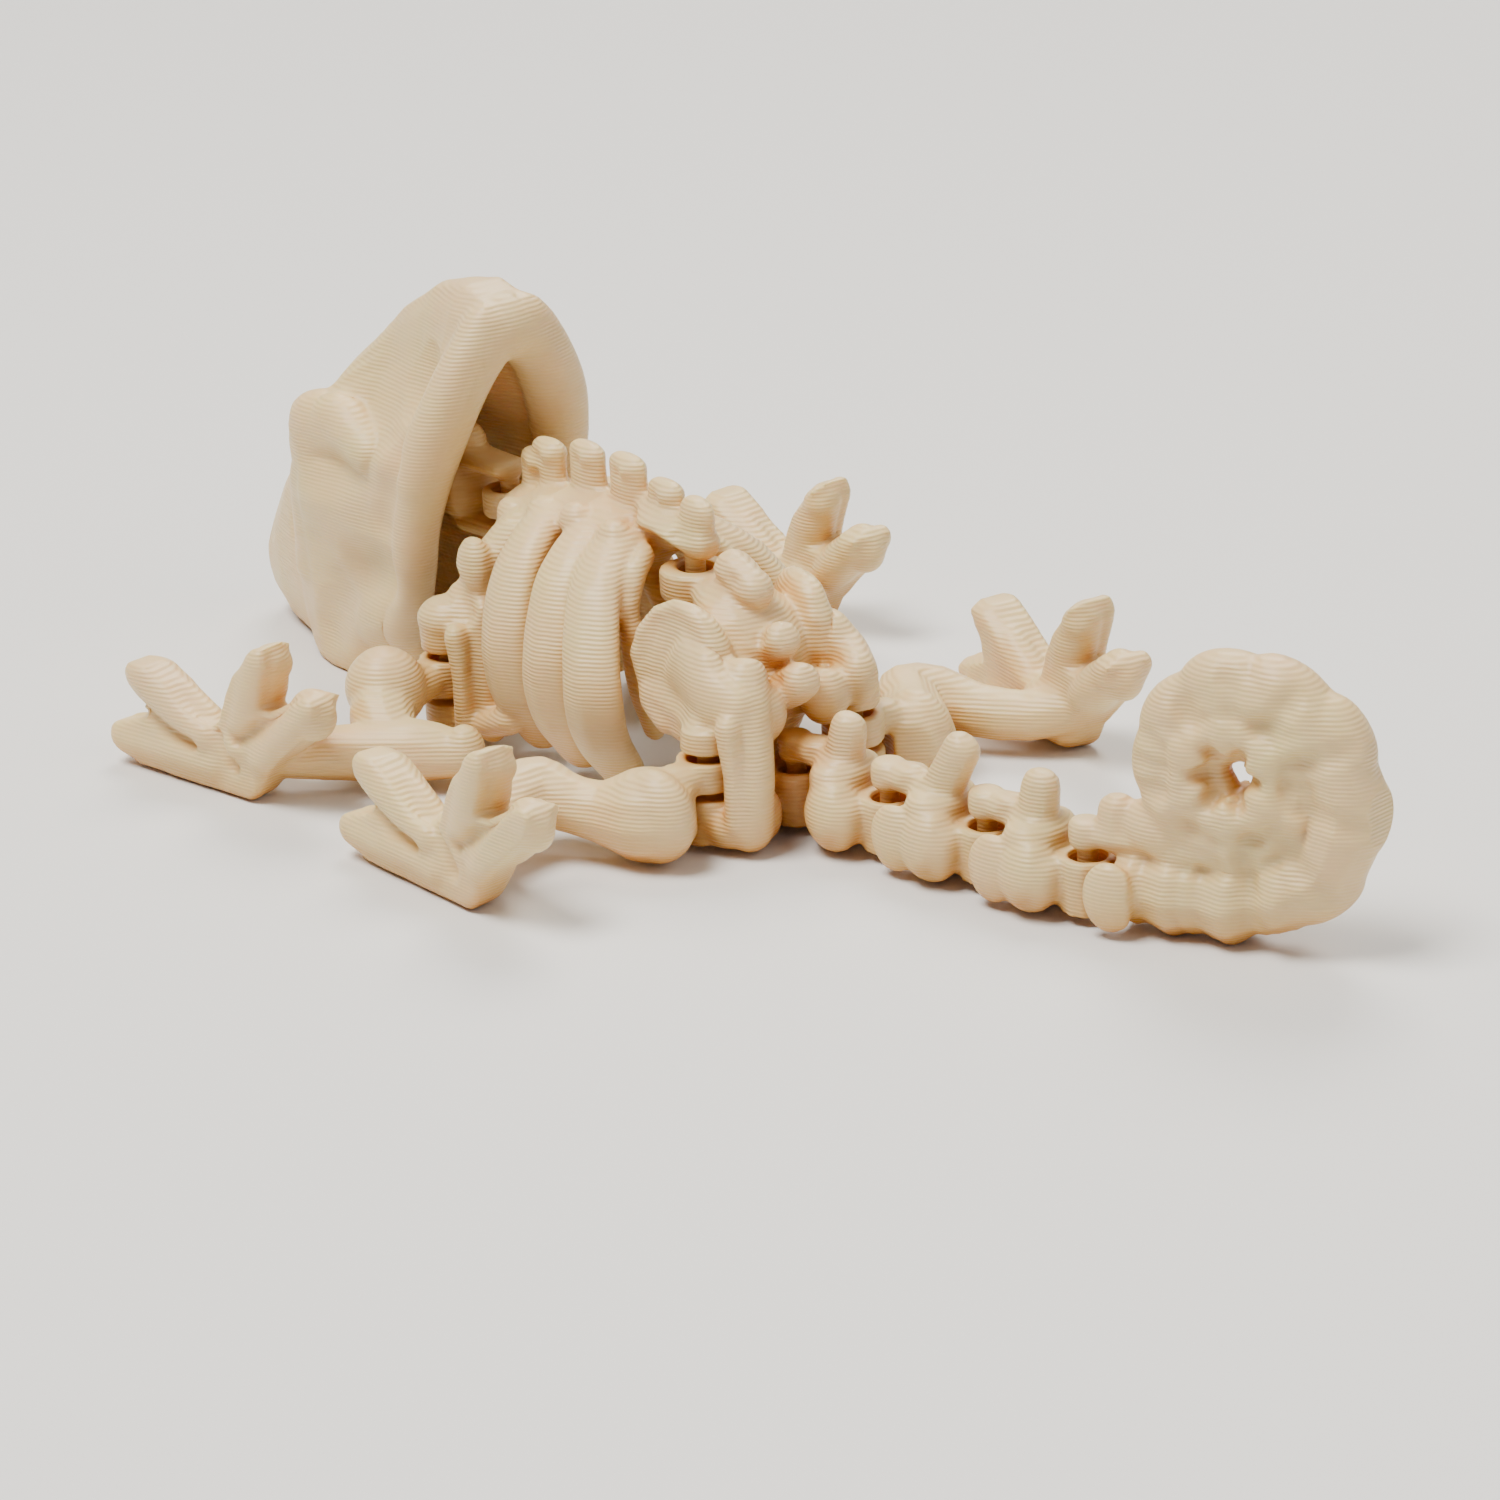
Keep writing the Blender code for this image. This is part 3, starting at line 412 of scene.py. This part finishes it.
def skull_skin():
    """The skull with the thick rounded rim of its opening, dished crest and lumpy cheeks."""
    forms = Forms()
    forms.node("skull")
    strokes = []
    for side in (-1, 1):
        forms.limb(SKULL, [(x, side * y, z) for x, y, z in RIM], RIM_RADII)
        out = (0, side, 0.2)
        # dish of the crest, in front of the rim
        strokes.append((SKULL, [(2.4, side * 5.2, 20.6), (5.4, side * 4.8, 22.4), (7.2, side * 4.0, 24.6)],
                        5.0, -0.55, out))
        # the rim stands proud behind it
        strokes.append((SKULL, [(7.2, side * 6.6, 16.4), (8.4, side * 5.8, 20.0), (9.6, side * 4.2, 24.4),
                                (10.0, side * 2.4, 26.8)], 1.8, 0.4, (0.1, side, 0.2)))
        # the brow runs back into the crest and down into the cheek
        forms.limb(SKULL, [(-5.2, side * 4.4, 16.4), (-2.6, side * 4.4, 17.2), (0.6, side * 4.6, 16.4)],
                   [2.2, 2.1, 1.8])
        forms.limb(SKULL, [(-5.6, side * 4.6, 16.2), (-5.4, side * 4.5, 11.6)], [2.2, 2.0])
        # edge between the dish and the brow, and the fold down in front of the rim
        strokes.append((SKULL, [(-2.4, side * 5.2, 18.9), (1.4, side * 5.9, 16.8), (4.2, side * 6.4, 16.6)],
                        2.2, 0.45, out))
        strokes.append((SKULL, [(5.6, side * 6.8, 17.6), (4.2, side * 6.9, 14.4), (3.4, side * 6.8, 12.4)],
                        1.9, -0.55, out))
        # lumps and hollows of the cheek
        strokes.append((SKULL, [(0.2, side * 6.4, 8.8), (3.4, side * 6.2, 9.0)], 2.6, -0.75, out))
        strokes.append((SKULL, [(0.9, side * 6.2, 4.4), (2.2, side * 5.6, 5.0)], 2.7, 0.8, out))
        strokes.append((SKULL, [(-3.8, side * 6.4, 12.6), (-0.6, side * 6.7, 11.6)], 3.4, 0.4, out))
        strokes.append((SKULL, [(-4.6, side * 6.0, 3.0), (-2.2, side * 6.2, 6.6)], 2.4, -0.4, out))
        # brow lump over the eye socket, and the socket's edge
        strokes.append((SKULL, [(-6.2, side * 5.2, 17.6), (-4.0, side * 5.2, 18.6)], 2.4, 0.5, out))
        strokes.append((SKULL, [(-7.8, side * 6.6, 15.4), (-7.4, side * 6.8, 11.0), (-8.0, side * 5.8, 6.6)],
                        1.5, 0.4, out))
    # ridge over the crest
    strokes.append((SKULL, [(-4.0, 0, 23.6), (1.5, 0, 26.6), (6.0, 0, 28.0)], 1.5, 0.3, (0, 0, 1)))
    skin("skull_skin", "skull", ["skull"], forms, strokes)


# each rib's line: x at its root, x at its widest, half width there
RIB_LINES = ((-4.0, -2.2, 7.9), (0.2, 2.6, 8.0), (3.2, 7.2, 8.0))
RIB_LINE_END = 4.6      # z where the ridge along a rib ends
RIB_RADII = ((1.5, 1.1), (1.7, 1.1), (1.9, 1.1), (2.05, 1.05), (2.05, 1.05), (1.7, 1.0))
# x and y of a leg's pin in its body, and the angles of the posts that wall it in, from the tail's
# side outwards
SHOULDER_PIN, SHOULDER_WALL = (-9.3, 7.8), (20, -4, -28, -52, -76)
HIP_PIN, HIP_WALL = (8.46, 5.45), (5, -19, -43, -67)
WALL_RADIUS = 3.05      # from the pin to the posts
WALL_LOW = 2.2


def joint_wall(forms, where, pin, side, angles, high):
    """Posts that run together into a wall round the back of a leg's joint."""
    for degrees in angles:
        turn = math.radians(degrees)
        x = pin[0] + WALL_RADIUS * math.cos(turn)
        y = side * (pin[1] + WALL_RADIUS * math.sin(turn))
        forms.limb(where, [(x, y, WALL_LOW), (x, y, (WALL_LOW + high) / 2), (x - 0.3, y, high)],
                   [0.7, 0.62, 0.8], steps=2)


BACK_LUMPS = ((-8.4, 14.6), (-4.9, 15.4), (-1.2, 15.9), (2.9, 15.7))    # x and z
BLADE_NOTCHES = (-8.7, -5.7, -1.3, 2.9)                                 # x
BLADE_TOPS = ((-9.6, 18.2), (-7.9, 19.2), (-3.5, 20.0), (0.9, 20.2), (4.9, 19.5))   # x and z


def thorax_skin():
    """The backbone and both halves of the rib cage, fused over the cuts between them."""
    forms = Forms()
    for name in ("backbone", "ribs_left", "ribs_right"):
        forms.node(name)
    close_cuts(forms)
    strokes = []
    for side in (-1, 1):
        # lumps of the backbone beside the blades, and bosses of the rib roots
        for x, z in BACK_LUMPS:
            forms.ball(THORAX, (x, side * 2.7, z), (1.3, 1.1, 1.2))
        forms.ball(THORAX, (-8.0, side * 3.0, 12.9), (1.7, 1.6, 1.9))
        # the block behind the shoulder joint, and the short last rib
        forms.limb(THORAX, [(-5.7, side * 7.2, 1.8), (-5.8, side * 7.2, 5.0), (-6.3, side * 6.9, 9.4)],
                   [1.0, 0.95, 1.1])
        forms.ball(THORAX, (SHOULDER_PIN[0], side * SHOULDER_PIN[1], 8.5), (2.1, 1.9, 1.5))
        joint_wall(forms, THORAX, SHOULDER_PIN, side, SHOULDER_WALL, 8.2)
        forms.limb(THORAX, [(6.5, side * 4.3, 11.0), (6.9, side * 4.1, 7.4), (6.6, side * 3.1, 4.0)],
                   [(0.9, 0.8), (1.1, 0.8), (0.8, 0.7)])
        # the ribs at their full width, with a ridge along each
        for root, wide, half in RIB_LINES:
            bend = (root + wide) / 2
            rib = [(root, side * 0.9, 15.4), (root + 0.1, side * 3.4, 15.0), (bend, side * 6.2, 12.8),
                   (wide, side * half, 8.8), (wide - 0.2, side * (half - 0.5), 5.0),
                   (wide - 0.6, side * (half - 2.2), 2.2)]
            ridge = [(bend, side * 6.6, 13.2), (wide, side * (half + 0.9), 8.8),
                     (wide - 0.2, side * (half + 0.2), RIB_LINE_END)]
            forms.limb(THORAX, rib, RIB_RADII)
            strokes.append((THORAX, ridge, 0.9, 0.18, (0, side, 0)))
        strokes.append((THORAX, [(-9.4, side * 8, 12.6), (-7.4, side * 8, 10.5), (-6.4, side * 8, 9.6)],
                        1.0, -0.4, (0, side, 0)))
        # notches where the blades meet the backbone
        for x in BLADE_NOTCHES:
            notch = [(x, side * 0.6, 16.6), (x, side * 1.9, 15.9)]
            strokes.append((THORAX, notch, 0.9, -0.3, (0, side, 0.6)))
    for x, top in BLADE_TOPS:
        strokes.append((THORAX, [(x - 0.2, -1.2, top - 1.1), (x + 0.3, 1.2, top - 1.3)], 0.7, -0.22))
        forms.ball(THORAX, (x + 0.3, 0, top - 0.95), (1.2, 1.0, 0.8))
    skin("thorax_skin", "thorax", ["backbone", "ribs_left", "ribs_right"], forms, strokes)


CORE_HALF = 1.25        # half width of the backbone node at its cuts
BRIDGE = 0.7            # how far the backbone is drawn out to meet the ribs
CUT_SLACK = 0.03        # how far off the cut's plane a point of it may lie


def close_cuts(forms):
    """Draws the flat sides of the backbone node out over the cuts."""
    to_frame = (Matrix.Scale(MM, 4) @ Matrix.Translation(-MIDDLE) @ THORAX).inverted()
    to_part = to_frame.inverted()
    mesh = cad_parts["backbone"].data
    bm = bmesh.new()
    bm.from_mesh(mesh)
    for vert in bm.verts:
        spot = to_frame @ vert.co
        if abs(abs(spot.y) - CORE_HALF) < CUT_SLACK:
            spot.y += math.copysign(BRIDGE, spot.y)
            vert.co = to_part @ spot
    wide = bpy.data.meshes.new("bridge")
    bm.to_mesh(wide)
    bm.free()
    forms.bm.from_mesh(wide)
    bpy.data.meshes.remove(wide)


def pelvis_skin():
    """The pelvis: two dished blades with raised rims, spines on top and a lumpy block below."""
    forms = Forms()
    forms.node("pelvis")
    strokes = []
    for side in (-1, 1):
        out = (0.2, side, 0.1)
        blade = [(1.6, 5.9, 11.4), (2.9, 5.6, 13.9), (5.4, 5.2, 14.6), (7.6, 4.6, 13.2), (8.4, 4.6, 10.6),
                 (8.7, 4.8, 8.6)]
        strokes.append((PELVIS, [(x, side * y, z) for x, y, z in blade], 1.3, 0.5, None))
        strokes.append((PELVIS, [(4.4, side * 5.6, 12.6), (5.4, side * 5.6, 10.4), (6.4, side * 5.8, 8.2)],
                        3.2, -0.45, out))
        strokes.append((PELVIS, [(1.5, side * 5.6, 10.4), (2.3, side * 5.6, 8.0), (4.0, side * 5.6, 6.6)],
                        1.1, 0.4, None))
        # the block between the hip and the tail, and the wall round the hip, are on the left only: the
        # first tail piece needs this room on the right
        if side < 0:
            forms.limb(PELVIS, [(11.4, side * 4.6, 1.7), (11.9, side * 4.4, 4.4), (10.6, side * 3.9, 8.2),
                                (9.2, side * 3.2, 10.4)], [(1.5, 1.5), (1.2, 1.2), (1.7, 1.5), (1.9, 1.5)])
            forms.ball(PELVIS, (9.8, side * 5.0, 1.75), (2.4, 1.9, 1.6))
            forms.ball(PELVIS, (10.6, side * 3.3, 2.1), (1.5, 1.4, 1.9))
            joint_wall(forms, PELVIS, HIP_PIN, side, HIP_WALL, 8.4)
        forms.limb(PELVIS, [(5.2, side * 4.9, 10.6), (8.4, side * 5.0, 9.4), (10.5, side * 4.5, 8.8)],
                   [(1.3, 2.4), (1.4, 2.3), (1.3, 1.9)])
        forms.ball(PELVIS, (9.9, side * 2.4, 8.2), (1.6, 1.6, 2.0))
        strokes.append((PELVIS, [(9.5, side * 6.2, 0.4), (9.4, side * 5.9, 3.0)], 0.8, -0.35, None))
        strokes.append((PELVIS, [(8.9, side * 2.6, 12.0), (9.9, side * 2.9, 9.4)], 1.2, -0.35, None))
    for x, z in ((5.6, 15.2), (8.4, 12.3), (10.1, 9.9)):
        strokes.append((PELVIS, [(x, -1.0, z), (x + 0.4, 1.0, z)], 0.8, -0.2, None))
    skin("pelvis_skin", "pelvis", ["pelvis"], forms, strokes)


# lines of a foot, on its flat sole (x, z): clefts between toes, and the bones that show through
SOLE_CLEFTS = (((-9.9, 4.3), (-7.4, 3.3), (-5.0, 2.9)), ((4.3, 8.2), (2.2, 6.0), (-0.6, 4.2)),
               ((-3.0, 4.4), (-1.8, 3.0), (-1.3, 2.2)))
SOLE_BONES = (((-12.0, 1.7), (-7.5, 1.7), (-3.4, 1.6)), ((-9.9, 6.3), (-6.9, 4.6), (-4.2, 3.5)),
              ((1.5, 9.6), (0.2, 6.6), (-0.4, 4.9)), ((5.9, 7.3), (3.4, 5.2), (1.2, 3.0)))
# a foot's toes from behind: where each starts and ends, its radius at the start and at the end
TOES = (((-5.6, 1.9), (-11.4, 2.0), 1.5, 1.0), ((-5.0, 3.4), (-10.0, 6.1), 1.3, 1.0),
        ((-0.4, 5.6), (1.5, 9.5), 1.6, 1.1), ((2.4, 4.6), (5.2, 7.1), 1.7, 1.2))


def leg_skin(node, where, foot, bosses):
    """A leg: bosses over its bones, and a foot with rounded toes over a ridged sole."""
    forms = Forms()
    forms.node(node)
    sole = where @ foot
    strokes = []
    for (x, z), (tip_x, tip_z), radius, tip in TOES:
        middle = ((x + tip_x) / 2, 1.75, (z + tip_z) / 2)
        forms.limb(sole, [(x, 1.7, z), middle, (tip_x, 1.5, tip_z)],
                   [(radius, 1.35), (radius * 0.92, 1.45), (tip, 1.15)], steps=3)
        forms.ball(sole, (tip_x * 0.94, 1.9, tip_z * 0.96), (tip * 1.05, 1.25, tip * 1.05))
    forms.ball(sole, (5.2, 1.3, 6.7), (1.8, 1.25, 1.7), (0, -40, 0))
    forms.ball(sole, (-1.4, 2.3, 2.6), (2.6, 1.9, 2.1))
    for line in SOLE_CLEFTS:
        strokes.append((sole, [(x, 0, z) for x, z in line], 0.85, -0.5, (0, -1, 0)))
    for line in SOLE_BONES:
        strokes.append((sole, [(x, 0, z) for x, z in line], 1.3, 0.35, (0, -1, 0)))
    for centre, radii in bosses:
        forms.ball(where, centre, radii)
    skin(node + "_skin", node, [node], forms, strokes)


FRONT_BOSSES = (((-0.5, -5.0, 5.0), (2.7, 2.6, 2.8)), ((7.2, -5.2, 2.6), (1.4, 1.4, 1.9)))
HIND_BOSSES = (((0.0, -4.5, 3.3), (2.9, 1.9, 3.0)), ((-7.6, -8.2, 4.3), (1.7, 1.9, 1.9)))
HIND_RIGHT_BOSSES = (((0.9, 4.7, 3.2), (2.7, 1.8, 2.9)), ((-3.3, 8.4, 3.7), (1.8, 1.9, 1.9)))


SLIM = 0.4      # half of what the first tail piece's body lacks on its right


def cheeks(forms, where, sides):
    """Lumps at the front of a tail piece, beside the eye of the piece before it."""
    for side in sides:
        forms.ball(where, (2.3, side * 2.45, 2.6), (1.7, 0.8, 2.2))


def tail_skin(index):
    """A tail piece with a fat round body."""
    node = "tail_%d" % (index + 1)
    where = TAILS[index]
    forms = Forms()
    forms.node(node)
    # the first piece swings close to the pelvis on its right side, so it is slim there
    sides = (-1, 1) if index else (-1,)
    shift = 0 if index else -SLIM
    forms.ball(where, (4.25, shift, 2.75), (2.05, 3.3 + shift, 2.45))
    forms.ball(where, (4.1, shift, 4.4), (1.8, 2.4 + shift, 1.6))
    for side in sides:
        forms.ball(where, (4.8, side * 1.95, 2.6), (2.1, 1.6, 2.3))
    if index:
        cheeks(forms, where, sides)
    strokes = [(where, [(2.2, -1.2, 5.6), (3.2, 0, 6.2), (2.2, 1.2, 5.6)], 0.7, -0.25, None),
               (where, [(5.9, -2.2, 3.9), (5.3, -3.0, 1.0)], 0.9, -0.3, None),
               (where, [(5.9, 2.2, 3.9), (5.3, 3.0, 1.0)], 0.9, -0.3, None)]
    skin(node + "_skin", node, [node], forms, strokes)


COIL_CENTRE = (9.4, 10.5)       # x and z of the coil's middle, in the frame of its piece
COIL_HOLE = (9.2, 10.7)
COIL_LUMPS = ((-52, 9.4), (-14, 8.7), (24, 8.0), (60, 7.3), (97, 6.8), (136, 6.2), (176, 5.8),
              (212, 5.7))       # angle and reach of the lumps round the coil
COIL_RINGS = (5.6, 9.2, 12.4)   # x of the rings on the straight stretch
HOLE_RING = 2.75                # radius of the innermost turn, from the hole
OUTER_RING = 1.6                # the next turn's radius, as a multiple of that
LUMP_INSET = 1.3                # how far in from its reach a lump has its middle
# balls that fill the coil between its turns and its stalk: centre, radii, turn
COIL_BALLS = (((4.6, 0, 6.2), (2.4, 1.7, 1.9), (0, 20, 0)), ((7.2, 0, 5.6), (3.0, 1.6, 1.6), (0, 0, 0)),
              ((10.4, 0, 5.8), (2.8, 1.6, 1.6), (0, 0, 0)), ((13.2, 0, 7.4), (2.2, 1.5, 2.4), (0, 0, 0)),
              ((5.8, 0, 9.0), (1.6, 1.4, 3.0), (0, 0, 0)))


def coil_skin():
    """The end of the tail: a lumpy coil, closed in its middle but for a small hole."""
    forms = Forms()
    forms.node("tail_coil")
    where = TAILS[3]
    cheeks(forms, where, (-1,))     # the coil stands turned to the right, so only the left side has room
    x, z = COIL_CENTRE
    hole_x, hole_z = COIL_HOLE
    circle = []
    for step in range(13):
        angle = math.radians(30 * step)
        circle.append((hole_x + HOLE_RING * math.cos(angle), 0, hole_z + HOLE_RING * math.sin(angle)))
    forms.limb(where, circle, [(1.5, 2.3)] * 13, steps=3)
    wider = [(hole_x + (px - hole_x) * OUTER_RING, 0, hole_z + (pz - hole_z) * OUTER_RING)
             for px, _, pz in circle]
    forms.limb(where, wider, [(1.35, 1.8)] * 13, steps=3)
    for centre, radii, turn in COIL_BALLS:
        forms.ball(where, centre, radii, turn)
    strokes = []
    for angle, reach in COIL_LUMPS:
        turn = math.radians(angle)
        middle = reach - LUMP_INSET
        forms.ball(where, (x + middle * math.cos(turn), 0, z + middle * math.sin(turn)),
                   (1.9, 1.9, 2.9), (0, -angle, 0))
    for index in range(12):
        # ridges and furrows that run in to the hole, on both faces
        turn = math.radians(30 * index + 9 * math.sin(3.1 * index))
        far = 4.6 + 0.7 * math.sin(2.3 * index)
        near = 1.3 + 0.3 * math.cos(1.7 * index)
        for side in (-1, 1):
            ray = [(hole_x + r * math.cos(turn), side * 1.6, hole_z + r * math.sin(turn))
                   for r in (near, far)]
            strokes.append((where, ray, 1.0, 0.34 if index % 2 else -0.34, (0, side, 0)))
    for index in range(9):
        # furrows between the lumps, on both faces
        turn = math.radians(-80 + 34 * index)
        for side in (-1, 1):
            ray = [(x + r * math.cos(turn), side * 2.0, z + r * math.sin(turn)) for r in (4.6, 8.6)]
            strokes.append((where, ray, 1.1, -0.32, (0, side, 0)))
    for ring_x in COIL_RINGS:
        loop = [(ring_x + 0.1 * math.cos(a), 2.4 * math.cos(a), 2.7 + 2.4 * math.sin(a))
                for a in [math.radians(45 * step) for step in range(9)]]
        strokes.append((where, loop, 1.0, 0.3, None))
        strokes.append((where, [(px - 1.6, py, pz) for px, py, pz in loop], 0.8, -0.22, None))
    skin("tail_coil_skin", "tail_coil", ["tail_coil"], forms, strokes)


skull_skin()
thorax_skin()
pelvis_skin()
leg_skin("front_leg_left", FRONT_LEFT, place(-1.9, -15.5, 5.0, FLOOR), FRONT_BOSSES)
leg_skin("front_leg_right", mirrored(THORAX, FRONT_LEFT), place(-2.5, -15.9, -8.0, FLOOR), FRONT_BOSSES)
leg_skin("hind_leg_left", HIND_LEFT, place(-3.6, -16.7, -4.0, FLOOR), HIND_BOSSES)
leg_skin("hind_leg_right", Matrix.Translation(mirrored(PELVIS, HIND_LEFT).translation),
         place(5.8, 16.0, -16.0, FLOOR) @ FLIP, HIND_RIGHT_BOSSES)
for piece in range(3):
    tail_skin(piece)
coil_skin()


# Floor, light and camera

# in metres: half the floor's width, its near end, where it starts to curve up, the curve's radius and
# how high the back of it goes
FLOOR_HALF, FLOOR_NEAR, CURVE_START, CURVE_RADIUS, FLOOR_TOP = 2.0, -1.2, 0.8, 0.4, 1.6
CURVE_STEPS = 12


def studio_floor():
    """A plain pale floor that curves up far behind the toy."""
    profile = [(FLOOR_NEAR, 0.0), (CURVE_START, 0.0)]
    for step in range(1, CURVE_STEPS + 1):
        angle = math.radians(90 * step / CURVE_STEPS)
        profile.append((CURVE_START + CURVE_RADIUS * math.sin(angle),
                        CURVE_RADIUS - CURVE_RADIUS * math.cos(angle)))
    profile.append((CURVE_START + CURVE_RADIUS, FLOOR_TOP))
    bm = bmesh.new()
    rows = []
    for along, up in profile:
        rows.append([bm.verts.new((across, along, up)) for across in (-FLOOR_HALF, FLOOR_HALF)])
    for near, far in zip(rows, rows[1:]):
        bm.faces.new((near[0], near[1], far[1], far[0]))
    mesh = bpy.data.meshes.new("studio_floor")
    bm.to_mesh(mesh)
    bm.free()
    mesh.shade_smooth()
    floor = bpy.data.objects.new("studio_floor", mesh)
    floor.rotation_euler = (0, 0, math.radians(CAMERA_AZIMUTH))
    bpy.context.scene.collection.objects.link(floor)
    material = bpy.data.materials.new("pale_floor")
    material.use_nodes = True
    shader = material.node_tree.nodes["Principled BSDF"]
    shader.inputs["Base Color"].default_value = (0.78, 0.78, 0.77, 1)
    shader.inputs["Roughness"].default_value = 0.55
    mesh.materials.append(material)


CAMERA_AZIMUTH = 47.0       # degrees from the -Y side round to +X
CAMERA_ELEVATION = 21.9
CAMERA_ROLL = 2.9
CAMERA_DISTANCE = 288.0     # millimetres from the drawing's origin, along the view
LENS, SENSOR, PHOTO_SIDE = 110.6, 36.0, 1500
ORIGIN_PIXEL = (750, 800)   # where the photo shows the drawing's origin


def camera():
    """The photo's view, placed so that the drawing's origin falls on ORIGIN_PIXEL."""
    data = bpy.data.cameras.new("camera")
    data.lens = LENS
    data.sensor_width = SENSOR
    data.clip_start = 0.01
    obj = bpy.data.objects.new("camera", data)
    bpy.context.scene.collection.objects.link(obj)
    turn = (Matrix.Rotation(math.radians(CAMERA_AZIMUTH), 4, "Z")
            @ Matrix.Rotation(math.radians(90 - CAMERA_ELEVATION), 4, "X")
            @ Matrix.Rotation(math.radians(-CAMERA_ROLL), 4, "Z"))
    focal = PHOTO_SIDE * LENS / SENSOR
    across = (ORIGIN_PIXEL[0] - PHOTO_SIDE / 2) / focal * CAMERA_DISTANCE
    down = (ORIGIN_PIXEL[1] - PHOTO_SIDE / 2) / focal * CAMERA_DISTANCE
    eye = turn @ Vector((-across, down, CAMERA_DISTANCE)) - MIDDLE
    obj.matrix_world = Matrix.Translation(eye * MM) @ turn
    bpy.context.scene.camera = obj


# name, azimuth and elevation in degrees, distance and side in metres, watts, colour
LIGHTS = (("key", -18.0, 68.0, 0.7, 0.30, 7.6, (1.0, 0.96, 0.90)),
          ("fill", 100.0, 40.0, 0.8, 0.5, 1.7, (1.0, 0.95, 0.88)),
          ("back", 215.0, 50.0, 0.8, 0.4, 5.0, (1.0, 0.94, 0.86)))


def soft_light(name, azimuth, elevation, distance, size, power, colour):
    """A square softbox that looks at the toy."""
    data = bpy.data.lights.new(name, "AREA")
    data.size = size
    data.energy = power
    data.color = colour
    obj = bpy.data.objects.new(name, data)
    bpy.context.scene.collection.objects.link(obj)
    turn = (Matrix.Rotation(math.radians(azimuth), 4, "Z")
            @ Matrix.Rotation(math.radians(90 - elevation), 4, "X"))
    obj.matrix_world = turn @ Matrix.Translation((0, 0, distance))


def pale_world():
    world = bpy.data.worlds.new("pale_world")
    world.use_nodes = True
    background = world.node_tree.nodes["Background"]
    background.inputs["Color"].default_value = (0.93, 0.95, 1.0, 1)
    background.inputs["Strength"].default_value = 0.2
    bpy.context.scene.world = world


studio_floor()
camera()
pale_world()
for light in LIGHTS:
    soft_light(*light)
